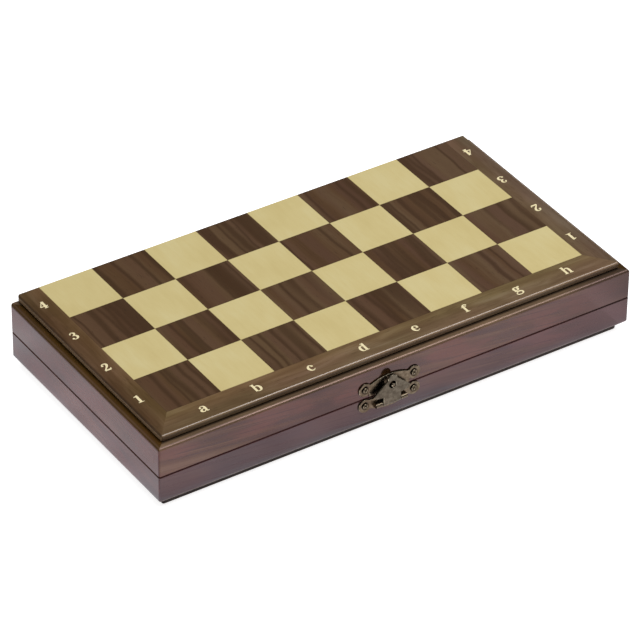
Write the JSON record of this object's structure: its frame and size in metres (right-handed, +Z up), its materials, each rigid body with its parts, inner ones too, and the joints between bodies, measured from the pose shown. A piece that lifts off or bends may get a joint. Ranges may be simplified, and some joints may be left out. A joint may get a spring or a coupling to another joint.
{
  "type": "chess box with hinged lid",
  "caption": "Folding wooden chess box: two shallow hinged trays, each carrying half a raised chess board, closed by a small hasp latch at the front.",
  "frame": {"origin": "middle of the trays' footprint, on the underside of the closed box, which is the playing surface of the lower half", "axes": "+X along the hinge to the right seen from the latch, +Y from the latch to the hinge, +Z up through the lid"},
  "size_m": [0.272, 0.1448, 0.0406],
  "materials": {
    "rail_wood": "stained and lacquered, satin gloss",
    "border_wood": "walnut, lacquered",
    "dark_veneer": "walnut veneer, lacquered",
    "light_veneer": "maple veneer, lacquered",
    "panel_plywood": "plywood",
    "felt": "felt",
    "hinge_brass": "brass, slightly dulled",
    "latch_bronze": "antiqued bronze"
  },
  "bodies": {
    "base": {"base_front_rail": "rail_wood", "base_rear_rail": "rail_wood", "base_left_rail": "rail_wood", "base_right_rail": "rail_wood", "base_board_panel": "panel_plywood", "base_front_border": "border_wood", "base_left_border": "border_wood", "base_right_border": "border_wood", "base_dark_squares": "dark_veneer", "base_light_squares": "light_veneer", "base_felt": "felt", "left_hinge_base_leaf": "hinge_brass", "right_hinge_base_leaf": "hinge_brass", "left_hinge_pin": "hinge_brass", "right_hinge_pin": "hinge_brass", "base_hinge_screws": "hinge_brass", "latch_lower_plate": "latch_bronze", "latch_lower_nails": "latch_bronze", "latch_pin": "latch_bronze"},
    "lid": {"lid_front_rail": "rail_wood", "lid_rear_rail": "rail_wood", "lid_left_rail": "rail_wood", "lid_right_rail": "rail_wood", "lid_board_panel": "panel_plywood", "lid_front_border": "border_wood", "lid_left_border": "border_wood", "lid_right_border": "border_wood", "lid_dark_squares": "dark_veneer", "lid_light_squares": "light_veneer", "lid_felt": "felt", "left_hinge_lid_leaf": "hinge_brass", "right_hinge_lid_leaf": "hinge_brass", "lid_hinge_screws": "hinge_brass", "latch_upper_plate": "latch_bronze", "latch_upper_nails": "latch_bronze"},
    "flap": {"latch_flap": "latch_bronze"}
  },
  "joints": [
    {"name": "lid_hinge", "type": "hinge", "parent": "base", "child": "lid", "pos_m": [0, 0.06955, 0.0203], "axis": [-1, 0, 0], "range_deg": [0, 180]},
    {"name": "latch_hinge", "type": "hinge", "parent": "base", "child": "flap", "pos_m": [-0.007, -0.07165, 0.0153], "axis": [1, 0, 0], "range_deg": [0, 150]}
  ]
}
